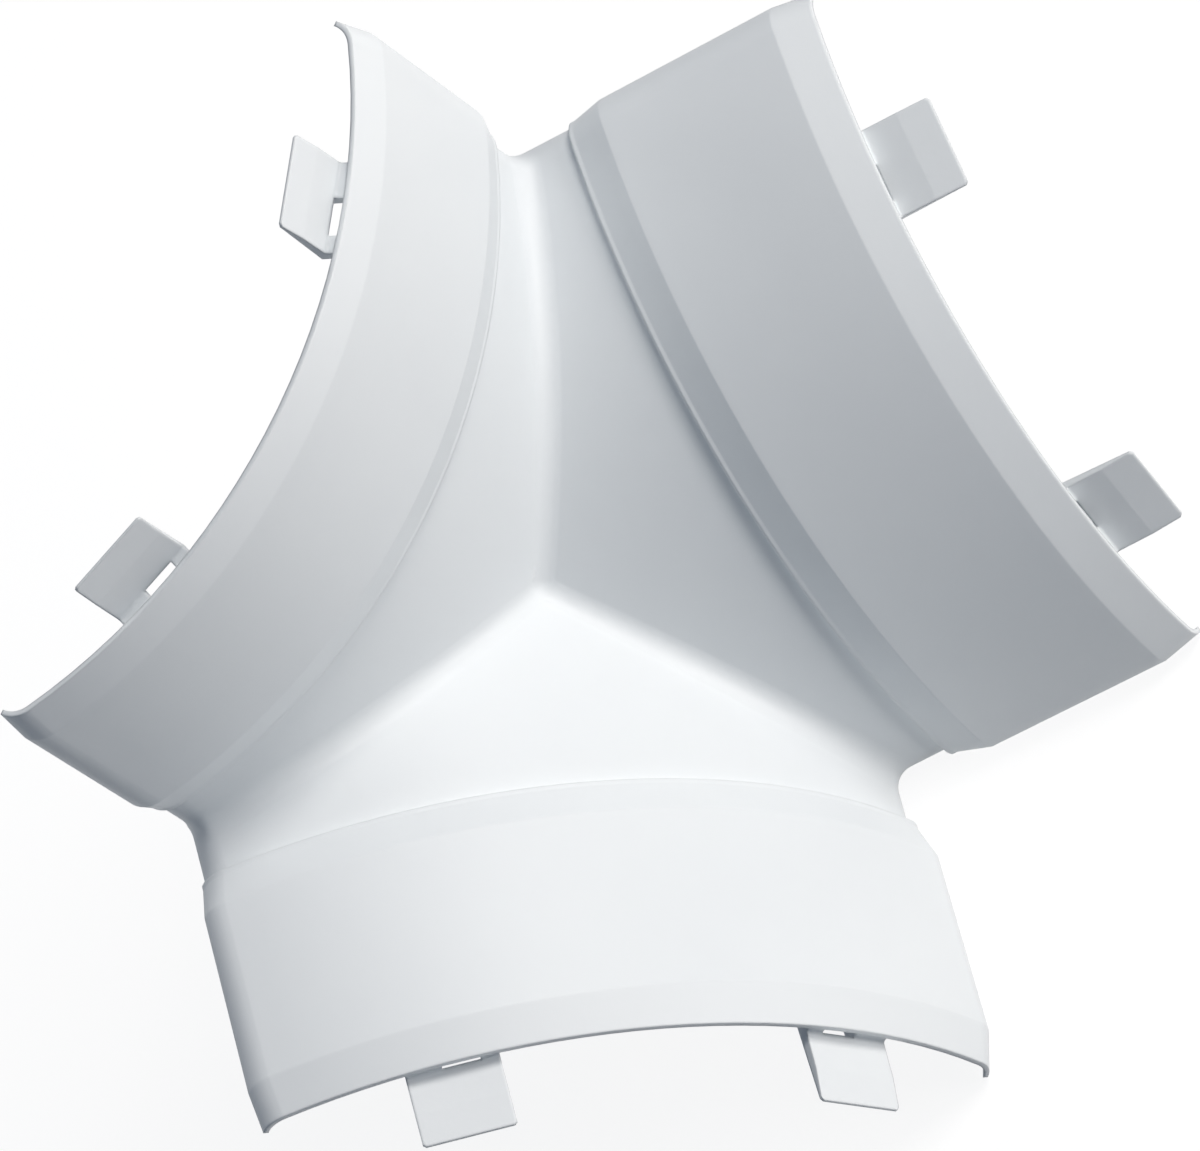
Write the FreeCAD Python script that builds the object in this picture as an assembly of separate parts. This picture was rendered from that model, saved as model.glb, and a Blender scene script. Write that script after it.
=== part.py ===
import FreeCAD, Part
import math
import os

# Corner trunking tee cover: one thin moulding, three arms at right angles.
# It is modelled with its three arms along +X, +Y and +Z from the point where
# the planes of its three rims meet, one face at a time, and turned to its
# installed position at the end. A face is described by s, the distance of a
# point from its rim's plane, and h, its distance from the plane it runs along.

# Driving sizes, mm
ARM_REACH = 154.0
ARC_CENTRE = 165.0
SHEET = 0.9

# Inner profile of a face from the rim to the lid level, as (s, h)
PROFILE = [(0.0, 57.7), (7.2, 55.8), (42.7, 56.2), (49.2, 58.4), (50.1, 58.4), (50.6, 60.0)]
PAST_RIDGE = 100.0

# Flared lip at the open end of each arm
LIP_RADIUS = 6.0
LIP_ANGLE = 48.0

# Rounding of the valley between two faces, on the hollow side
VALLEY_RADIUS = 4.0

# Holding tongues behind the rim, two to a face
TONGUE_ANGLE = 20.0
TONGUE_WIDTH = 16.6
TONGUE_REACH = 12.6
TONGUE_GAP = 2.4
TONGUE_LEAN = 3.0
TONGUE_ROOT = 1.9
TONGUE_MIDDLE = 1.5
TONGUE_TIP = 0.5
TONGUE_BEND = 6.4
TIP_CHAMFER = 0.5
LEG_START = 0.9
LEG_HEIGHT = 2.3
LEG_FILLET = 0.6
WINDOW_WIDTH = 6.8
WINDOW_OFFSET = 1.6

TOLERANCE = 0.001
DIAGONAL = FreeCAD.Vector(1, 1, 1)
ORIGIN = FreeCAD.Vector(0, 0, 0)


def offset_profile(points, distance):
    """Moves a polyline of (s, h) points by a distance towards larger h."""
    moved = []
    slopes = [math.atan2(q[1] - p[1], q[0] - p[0]) for p, q in zip(points, points[1:])]
    slopes.append(0.0)
    for i, (s, h) in enumerate(points):
        before = slopes[i - 1] if i else 0.0
        after = slopes[i]
        if i == 0:
            moved.append((s, h + distance / math.cos(after)))
            continue
        mean = (before + after) / 2
        reach = distance / math.cos((after - before) / 2)
        moved.append((s - reach * math.sin(mean), h + reach * math.cos(mean)))
    return moved


def around(centre, radius, angle, s):
    """Point at an angle on a circle in the plane at height s."""
    x = centre[0] + radius * math.cos(angle)
    y = centre[1] + radius * math.sin(angle)
    return FreeCAD.Vector(x, y, s)


def sweep_path(s, h, lip_radius, reach):
    """Arcs of one sheet surface at height s: lip, long curve, lip."""
    radius = ARC_CENTRE - h
    flare = math.radians(LIP_ANGLE)
    start = math.asin((ARC_CENTRE + lip_radius * math.sin(flare) - reach) / (radius - lip_radius))
    main = (ARC_CENTRE, ARC_CENTRE)
    angles = (math.pi + start, 1.5 * math.pi - start)
    edges = []
    ends = []
    for angle, turn in ((angles[0], -1), (angles[1], 1)):
        lip = around(main, radius - lip_radius, angle, s)
        stop = angle + turn * (start + flare)
        middle = (angle + stop) / 2
        spots = [around((lip.x, lip.y), lip_radius, a, s) for a in (angle, middle, stop)]
        edges.append(Part.Arc(*spots).toShape())
        ends.append(spots[2])
    spots = [around(main, radius, a, s) for a in (angles[0], 1.25 * math.pi, angles[1])]
    edges.insert(1, Part.Arc(*spots).toShape())
    return edges, ends


def face_sheet():
    """One face of the cover as a thin sheet, cut at both mitres."""
    inner = PROFILE + [(PAST_RIDGE, PROFILE[-1][1])]
    outer = offset_profile(inner, SHEET)
    outer_reach = ARM_REACH - SHEET * math.sin(math.radians(LIP_ANGLE))
    sections = []
    for (s, h), (s_out, h_out) in zip(inner, outer):
        near, near_ends = sweep_path(s, h, LIP_RADIUS, ARM_REACH)
        far, far_ends = sweep_path(s_out, h_out, LIP_RADIUS - SHEET, outer_reach)
        closing = [Part.makeLine(near_ends[k], far_ends[k]) for k in (1, 0)]
        loop = near + [closing[0]] + far[::-1] + [closing[1]]
        sections.append(Part.Wire(loop))
    sheet = Part.makeLoft(sections, True, True)
    for turn in (False, True):
        sheet = sheet.common(mitre_wedge(turn))
    return sheet


def mitre_wedge(across):
    """Prism holding every point nearer this rim's plane than the next one."""
    low = -2 * TONGUE_REACH
    high = 1.5 * ARC_CENTRE
    corners = [(low, low), (high, low), (high, high)]
    if across:
        points = [FreeCAD.Vector(low, a, s) for a, s in corners]
        run = FreeCAD.Vector(high - low, 0, 0)
    else:
        points = [FreeCAD.Vector(a, low, s) for a, s in corners]
        run = FreeCAD.Vector(0, high - low, 0)
    return prism(points, run)


def tongue(side):
    """A holding tongue: a tapering plate on two short legs, open between them."""
    solid = tongue_plate()
    window = (-side * WINDOW_OFFSET - WINDOW_WIDTH / 2, -side * WINDOW_OFFSET + WINDOW_WIDTH / 2)
    solid = solid.fuse(tongue_leg(-TONGUE_WIDTH / 2, window[0]))
    solid = solid.fuse(tongue_leg(window[1], TONGUE_WIDTH / 2)).removeSplitter()
    return place_tongue(solid.makeFillet(LEG_FILLET, root_edges(solid, window)), side)


def tongue_plate():
    """The plate, straight on its far side and tapering towards its tip."""
    lean = math.tan(math.radians(TONGUE_LEAN))
    back = TONGUE_GAP + TONGUE_ROOT
    outline = [
        (LEG_START, TONGUE_GAP),
        (-TONGUE_BEND, back - TONGUE_BEND * lean - TONGUE_MIDDLE),
        (-TONGUE_REACH, back - TONGUE_REACH * lean - TONGUE_TIP),
        (-TONGUE_REACH, back - TONGUE_REACH * lean),
        (LEG_START, back + LEG_START * lean),
    ]
    half = TONGUE_WIDTH / 2
    plate = prism([FreeCAD.Vector(-half, n, s) for s, n in outline], FreeCAD.Vector(TONGUE_WIDTH, 0, 0))
    corner = TIP_CHAMFER - TONGUE_REACH
    chamfered = [
        (-half, LEG_START),
        (-half, corner),
        (TIP_CHAMFER - half, -TONGUE_REACH),
        (half - TIP_CHAMFER, -TONGUE_REACH),
        (half, corner),
        (half, LEG_START),
    ]
    mask = prism([FreeCAD.Vector(u, 0, s) for u, s in chamfered], FreeCAD.Vector(0, 2 * back, 0))
    return plate.common(mask)


def tongue_leg(start, stop):
    """A leg from inside the sheet to the far side of the plate."""
    lean = math.tan(math.radians(TONGUE_LEAN))
    back = TONGUE_GAP + TONGUE_ROOT
    top = LEG_START + LEG_HEIGHT
    foot = [
        (LEG_START, -SHEET / 2 - rim_fall(LEG_START)),
        (top, -SHEET / 2 - rim_fall(top)),
        (top, back + top * lean),
        (LEG_START, back + LEG_START * lean),
    ]
    return prism([FreeCAD.Vector(start, n, s) for s, n in foot], FreeCAD.Vector(stop - start, 0, 0))


def prism(corners, run):
    """Straight prism over a flat outline."""
    return Part.Face(Part.makePolygon(corners + corners[:1])).extrude(run)


def root_edges(solid, window):
    """The inside corners between the plate and its legs."""
    found = []
    for edge in solid.Edges:
        level = all(abs(v.Z - LEG_START) < TOLERANCE for v in edge.Vertexes)
        if level and all(abs(v.Y - TONGUE_GAP) < TOLERANCE for v in edge.Vertexes):
            if not window[0] < edge.CenterOfMass.x < window[1]:
                found.append(edge)
    return found


def rim_fall(s):
    """How far the sheet has fallen away from the rim's level at height s."""
    (s_low, h_low), (s_high, h_high) = PROFILE[:2]
    return (h_low - h_high) * s / (s_high - s_low)


def place_tongue(solid, side):
    """Stands a tongue behind the rim at its angle on the long curve."""
    angle = 1.25 * math.pi + side * math.radians(TONGUE_ANGLE)
    rim = offset_profile(PROFILE, SHEET)[0][1]
    seat = around((ARC_CENTRE, ARC_CENTRE), ARC_CENTRE - rim, angle, 0.0)
    turned = solid.copy()
    turned.rotate(ORIGIN, FreeCAD.Vector(0, 0, 1), math.degrees(angle) + 90.0)
    turned.translate(seat)
    return turned


def ridge_edges(solid, level):
    """Edges of the three ridges, lips included, on one side of the sheet."""
    found = []
    radius = ARC_CENTRE - level
    for edge in solid.Edges:
        middle = edge.valueAt((edge.FirstParameter + edge.LastParameter) / 2)
        spots = [v.Point for v in edge.Vertexes] + [middle]
        for i, j, k in ((0, 1, 2), (1, 2, 0), (2, 0, 1)):
            mitred = all(abs(p[i] - p[j]) < TOLERANCE for p in spots)
            low = min(spots, key=lambda p: p[k])
            run = math.hypot(ARC_CENTRE - low[i], ARC_CENTRE - low[k])
            if mitred and middle[k] > middle[i]:
                apex = ARC_CENTRE - radius / math.sqrt(2)
                if abs(run - radius) < TOLERANCE or abs(low[k] - apex) < TOLERANCE:
                    found.append(edge)
    return found


def around_corner(shape):
    """A shape and its two copies turned about the corner's diagonal."""
    copies = [shape.copy() for _ in range(3)]
    for i, copy in enumerate(copies):
        copy.rotate(ORIGIN, DIAGONAL, 120.0 * i)
    return copies


def cover_sheet():
    """The three faces joined, with the ridges between them rounded."""
    faces = around_corner(face_sheet())
    sheet = faces[0].fuse(faces[1:]).removeSplitter().Solids[0]
    level = PROFILE[-1][1]
    sheet = sheet.makeFillet(VALLEY_RADIUS, ridge_edges(sheet, level))
    return sheet.makeFillet(VALLEY_RADIUS + SHEET, ridge_edges(sheet, level + SHEET))


def build():
    """The whole moulding at its installed position."""
    cover = cover_sheet()
    tongues = []
    for side in (-1, 1):
        tongues += around_corner(tongue(side))
    cover = cover.fuse(tongues).removeSplitter()
    cover.rotate(ORIGIN, FreeCAD.Vector(0, 1, 0), 90.0)
    return cover


os.makedirs("parts", exist_ok=True)
cover = build()
print("valid", cover.isValid(), "volume", round(cover.Volume), "solids", len(cover.Solids))
print("box", cover.BoundBox)
cover.Solids[0].exportStep("parts/tee_cover.step")
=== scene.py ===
# %% [markdown]
# # A trunking tee cover
# The cover is one thin white plastic moulding. Its three arms meet at right
# angles, and we look into its hollow side. The solid comes packed from the CAD
# step, so this lesson gives it its finish, its light and the photograph's
# point of view.

import math

import bpy
from mathutils import Matrix, Vector


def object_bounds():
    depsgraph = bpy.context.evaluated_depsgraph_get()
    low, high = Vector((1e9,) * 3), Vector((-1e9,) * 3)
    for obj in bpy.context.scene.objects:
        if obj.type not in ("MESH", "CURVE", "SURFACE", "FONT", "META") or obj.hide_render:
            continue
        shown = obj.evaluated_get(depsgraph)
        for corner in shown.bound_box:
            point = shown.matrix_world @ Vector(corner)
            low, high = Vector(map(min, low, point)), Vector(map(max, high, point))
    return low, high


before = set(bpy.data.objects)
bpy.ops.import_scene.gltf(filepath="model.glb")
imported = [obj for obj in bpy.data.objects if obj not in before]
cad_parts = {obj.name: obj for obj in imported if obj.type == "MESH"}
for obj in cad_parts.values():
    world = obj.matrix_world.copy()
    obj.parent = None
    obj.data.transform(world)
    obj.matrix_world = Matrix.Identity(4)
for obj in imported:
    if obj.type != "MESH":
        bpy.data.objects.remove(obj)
cad_box = [list(corner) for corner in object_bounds()]
print("nodes:", sorted(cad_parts))

# %% [markdown]
# The camera stands more than three metres away with a very long lens, which
# is why the three arms look almost alike in size. It looks down into the
# corner and is rolled, so that the arm along X points up the image. It could
# be placed by eye, but fitting its place, direction and lens together to
# points on all three arms settles them to a few pixels.

# %% Camera
IMAGE_WIDTH = 1200
SENSOR = 36.0
FOCAL_PIXELS = 18944.0
STAND = Vector((-1.54587, -1.03701, 2.51580))
LOOK = Vector((0.49914, 0.34117, -0.79653)).normalized()
UPWARD = Vector((0.83627, -0.43041, 0.33970))

right = LOOK.cross(UPWARD).normalized()
up = right.cross(LOOK)
camera_data = bpy.data.cameras.new("camera")
camera_data.sensor_fit = "HORIZONTAL"
camera_data.sensor_width = SENSOR
camera_data.lens = FOCAL_PIXELS * SENSOR / IMAGE_WIDTH
camera = bpy.data.objects.new("camera", camera_data)
turn = Matrix((right, up, -LOOK)).transposed().to_4x4()
camera.matrix_world = Matrix.Translation(STAND) @ turn
bpy.context.scene.collection.objects.link(camera)
bpy.context.scene.camera = camera
print("lens in mm:", round(camera_data.lens, 1))

# %% [markdown]
# Colours are written as sRGB hex, the way a colour card gives them, and one
# function turns them into the linear values that the shaders take. Three more
# helpers start a material, add a node with its inputs set, and link outputs to
# inputs, so that each material stays short.

# %% Helpers for materials


def linear(hex_colour):
    """Linear red, green, blue and alpha of an sRGB hex colour."""
    values = [int(hex_colour[i:i + 2], 16) / 255 for i in (1, 3, 5)]
    bent = [v / 12.92 if v <= 0.04045 else ((v + 0.055) / 1.055) ** 2.4 for v in values]
    return (*bent, 1.0)


def new_material(name):
    """An empty node material and its tree."""
    material = bpy.data.materials.new(name)
    material.use_nodes = True
    material.node_tree.nodes.clear()
    return material, material.node_tree


def add_node(tree, kind, inputs=None, **settings):
    """A new node with its settings and unlinked inputs filled in."""
    node = tree.nodes.new(kind)
    for name, value in settings.items():
        setattr(node, name, value)
    for name, value in (inputs or {}).items():
        node.inputs[name].default_value = value
    return node


def link(tree, pairs):
    """Links each output to the input beside it."""
    for source, target in pairs:
        tree.links.new(source, target)


print("sRGB #808080 is linear", round(linear("#808080")[0], 3))

# %% [markdown]
# Covers like this are injection moulded, mostly in a white ABS blend. The skin
# takes the satin polish of the tool with a very fine orange peel, and flow and
# cooling leave it cloudy by a shade over centimetres. A painted image could
# show that too, but noise on object coordinates needs no unwrapping and keeps
# its real size in metres from every side.

# %% White moulded plastic
PLASTIC = "#e7ebed"
PLASTIC_DEEP = "#e1e5e8"
ROUGHNESS_RANGE = {"To Min": 0.42, "To Max": 0.5}
CLOUD_SIZE = 0.035
CLOUD_GRAIN = {"Detail": 3.0, "Roughness": 0.5}
PEEL_SIZE = 0.0011
PEEL_GRAIN = {"Detail": 2.0, "Roughness": 0.45}


def add_noise(tree, size, grain):
    """Noise with features of about one size in metres."""
    return add_node(tree, "ShaderNodeTexNoise", {"Scale": 1 / size, **grain})


white_plastic, tree = new_material("satin_white_plastic")
place = add_node(tree, "ShaderNodeTexCoord")
clouds = add_noise(tree, CLOUD_SIZE, CLOUD_GRAIN)
peel = add_noise(tree, PEEL_SIZE, PEEL_GRAIN)
shades = {"A": linear(PLASTIC_DEEP), "B": linear(PLASTIC)}
tint = add_node(tree, "ShaderNodeMix", shades, data_type="RGBA")
gloss = add_node(tree, "ShaderNodeMapRange", ROUGHNESS_RANGE)
print("plastic between", PLASTIC_DEEP, "and", PLASTIC)

# %% [markdown]
# No mould has razor edges: every kink of the faces, every rim and every tongue
# is rounded by a few tenths of a millimetre. Real fillets there would
# multiply the triangles, so the Bevel node rounds the shading alone, and the
# orange peel is added on top of it.

# %% Soft edges and orange peel
EDGE_RADIUS = 0.0007
EDGE_SAMPLES = 8
PEEL_HEIGHT = 0.00002
PEEL_STRENGTH = 0.5
PLASTIC_SHINE = {"IOR": 1.5, "Specular IOR Level": 0.4}

soft_edges = add_node(tree, "ShaderNodeBevel", {"Radius": EDGE_RADIUS}, samples=EDGE_SAMPLES)
bump = add_node(tree, "ShaderNodeBump", {"Strength": PEEL_STRENGTH, "Distance": PEEL_HEIGHT})
plastic = add_node(tree, "ShaderNodeBsdfPrincipled", PLASTIC_SHINE)
finish = add_node(tree, "ShaderNodeOutputMaterial")
link(tree, (
    (place.outputs["Object"], clouds.inputs["Vector"]),
    (place.outputs["Object"], peel.inputs["Vector"]),
    (clouds.outputs["Fac"], tint.inputs["Factor"]),
    (clouds.outputs["Fac"], gloss.inputs["Value"]),
    (peel.outputs["Fac"], bump.inputs["Height"]),
    (soft_edges.outputs["Normal"], bump.inputs["Normal"]),
    (tint.outputs["Result"], plastic.inputs["Base Color"]),
    (gloss.outputs["Result"], plastic.inputs["Roughness"]),
    (bump.outputs["Normal"], plastic.inputs["Normal"]),
    (plastic.outputs["BSDF"], finish.inputs["Surface"]),
))

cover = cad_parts["tee_cover"]
cover.data.materials.clear()
cover.data.materials.append(white_plastic)
print("finished:", cover.name, len(cover.data.polygons), "faces")

# %% [markdown]
# The photograph is cut out on pure white. Brighter lamps could turn the floor
# white, but they would wash out the white plastic too. Instead we tell apart
# the rays that show the background, straight, mirrored or through something
# clear, from the rays that carry light to the cover.

# %% Rays that show the background
WHITE = "#ffffff"


def background_rays(tree):
    """A value of 1 for camera, glossy and transmission rays, and 0 for others."""
    ray = add_node(tree, "ShaderNodeLightPath")
    indirect = add_node(tree, "ShaderNodeMath", operation="MAXIMUM")
    shown = add_node(tree, "ShaderNodeMath", operation="MAXIMUM")
    link(tree, (
        (ray.outputs["Is Glossy Ray"], indirect.inputs[0]),
        (ray.outputs["Is Transmission Ray"], indirect.inputs[1]),
        (ray.outputs["Is Camera Ray"], shown.inputs[0]),
        (indirect.outputs["Value"], shown.inputs[1]),
    ))
    return shown.outputs["Value"]


print("background colour:", WHITE)

# %% [markdown]
# A pale floor lies just under the hanging arm. To the rays that show it, it is
# a thin share of lit paint over a white glow: white in the open and a trace
# darker where the cover shades it. Every other ray meets the plain paint, so
# that the plastic gets the soft bounce of a real floor.

# %% Floor
FLOOR = "#cccccc"
FLOOR_SEEN = "#7c7c7c"
FLOOR_GLOW = 0.88
FLOOR_REACH = 3.0
FLOOR_GAP = 0.0005

floor_level = cad_box[0][2] - FLOOR_GAP
square = ((-1, -1), (1, -1), (1, 1), (-1, 1))
corners = [(x * FLOOR_REACH, y * FLOOR_REACH, floor_level) for x, y in square]
floor_mesh = bpy.data.meshes.new("floor")
floor_mesh.from_pydata(corners, [], [(0, 1, 2, 3)])
floor = bpy.data.objects.new("floor", floor_mesh)
bpy.context.scene.collection.objects.link(floor)

floor_paint, tree = new_material("pale_floor")
matt = add_node(tree, "ShaderNodeBsdfDiffuse", {"Color": linear(FLOOR)})
seen = add_node(tree, "ShaderNodeBsdfDiffuse", {"Color": linear(FLOOR_SEEN)})
glow = add_node(tree, "ShaderNodeEmission", {"Color": linear(WHITE), "Strength": FLOOR_GLOW})
both = add_node(tree, "ShaderNodeAddShader")
choice = add_node(tree, "ShaderNodeMixShader")
finish = add_node(tree, "ShaderNodeOutputMaterial")
link(tree, (
    (seen.outputs["BSDF"], both.inputs[0]),
    (glow.outputs["Emission"], both.inputs[1]),
    (background_rays(tree), choice.inputs["Fac"]),
    (matt.outputs["BSDF"], choice.inputs[1]),
    (both.outputs["Shader"], choice.inputs[2]),
    (choice.outputs["Shader"], finish.inputs["Surface"]),
))
floor_mesh.materials.append(floor_paint)
print("floor level in m:", round(floor_level, 4))

# %% [markdown]
# Two large soft lights stand on the -Y side of the cover: the key above, the
# side light low, so that the faces turned to them are bright and the one that
# turns away falls off into shade. A weak light across from them keeps that
# face readable. Small lamps would be simpler to aim, but they would draw hard
# shadows that the photograph doesn't have.

# %% Light
LAMP_COLOUR = "#fffaf5"
LAMP_SIZE = 0.7
LAMP_DISTANCE = 1.75
MIDDLE = Vector((0.06, 0.06, -0.06))
# Azimuth and elevation in degrees, power in watts
LAMPS = {"key": (290, 45, 19.2), "side": (256, 12, 14.2), "back": (72, 45, 3.5)}


def soft_light(name, azimuth, elevation, power):
    """A square area light at a compass angle and height, aimed at the cover."""
    turn, lift = math.radians(azimuth), math.radians(elevation)
    level = math.cos(lift)
    away = Vector((level * math.cos(turn), level * math.sin(turn), math.sin(lift)))
    data = bpy.data.lights.new(name, "AREA")
    data.shape = "SQUARE"
    data.size = LAMP_SIZE
    data.energy = power
    data.color = linear(LAMP_COLOUR)[:3]
    lamp = bpy.data.objects.new(name, data)
    lamp.location = MIDDLE + away * LAMP_DISTANCE
    lamp.rotation_euler = away.to_track_quat("Z", "Y").to_euler()
    bpy.context.scene.collection.objects.link(lamp)


for name, (azimuth, elevation, power) in LAMPS.items():
    soft_light(name, azimuth, elevation, power)
    print("light:", name, "with", power, "W")

# %% [markdown]
# The room fills the shade with even, faintly blue light, as white walls do
# under a window. To the rays that show the background the world is plain
# white instead, wherever the floor ends.

# %% World
ROOM_COLOUR = "#a8d2ff"
ROOM_STRENGTH = 0.115
WHITE_STRENGTH = 1.0

world = bpy.data.worlds.new("studio")
world.use_nodes = True
tree = world.node_tree
tree.nodes.clear()
room_light = {"Color": linear(ROOM_COLOUR), "Strength": ROOM_STRENGTH}
room = add_node(tree, "ShaderNodeBackground", room_light)
white_light = {"Color": linear(WHITE), "Strength": WHITE_STRENGTH}
white = add_node(tree, "ShaderNodeBackground", white_light)
choice = add_node(tree, "ShaderNodeMixShader")
finish = add_node(tree, "ShaderNodeOutputWorld")
link(tree, (
    (background_rays(tree), choice.inputs["Fac"]),
    (room.outputs["Background"], choice.inputs[1]),
    (white.outputs["Background"], choice.inputs[2]),
    (choice.outputs["Shader"], finish.inputs["Surface"]),
))
bpy.context.scene.world = world
bpy.context.scene.view_settings.view_transform = "Standard"
print("room light:", ROOM_COLOUR, "at", ROOM_STRENGTH)

# %% [markdown]
# The box of the imported cover is printed at the end.

# %% Sizes
print("cad box:", cad_box)
